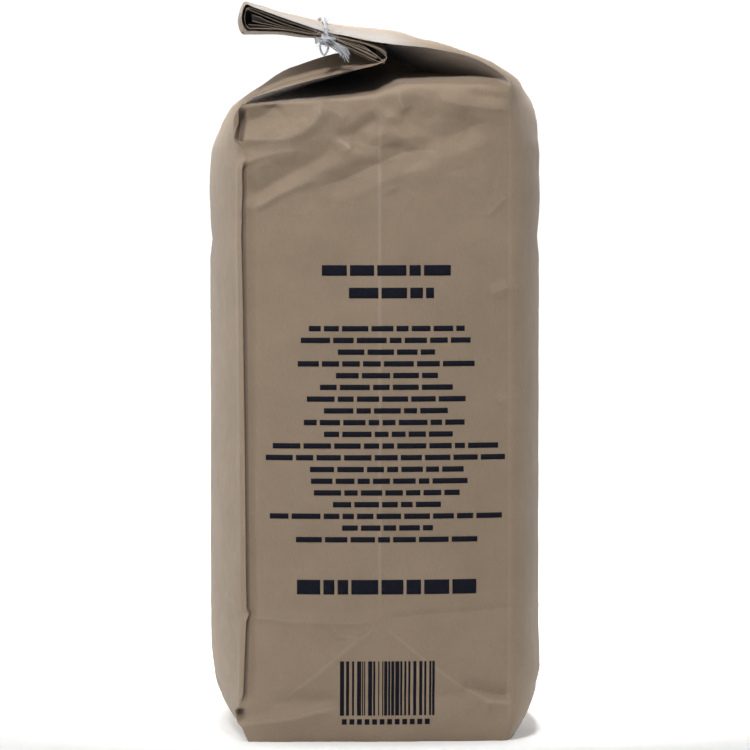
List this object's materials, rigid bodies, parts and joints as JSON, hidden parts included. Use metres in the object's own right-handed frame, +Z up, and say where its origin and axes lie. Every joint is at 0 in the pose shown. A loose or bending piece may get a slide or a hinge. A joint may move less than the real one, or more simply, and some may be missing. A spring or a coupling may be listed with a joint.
{
  "type": "flour bag",
  "caption": "Filled kraft paper flour bag with a square bottom, tucked side gussets and a flattened neck folded back, rolled under and tied with twine.",
  "frame": {"origin": "under the middle of the whole bag, on the flat bottom that it stands on", "axes": "+Z up the bag, its longest side; +X from the panel that the neck is folded towards to the opposite panel; +Y across the gussets, away from the gusset that has the knot"},
  "size_m": [0.1686, 0.193, 0.3699],
  "materials": {
    "kraft_paper": "matt, slightly creased",
    "white_twine": "satin, fibrous"
  },
  "bodies": {
    "root": {"paper_sack": "kraft_paper", "tie_twine": "white_twine"}
  },
  "joints": []
}
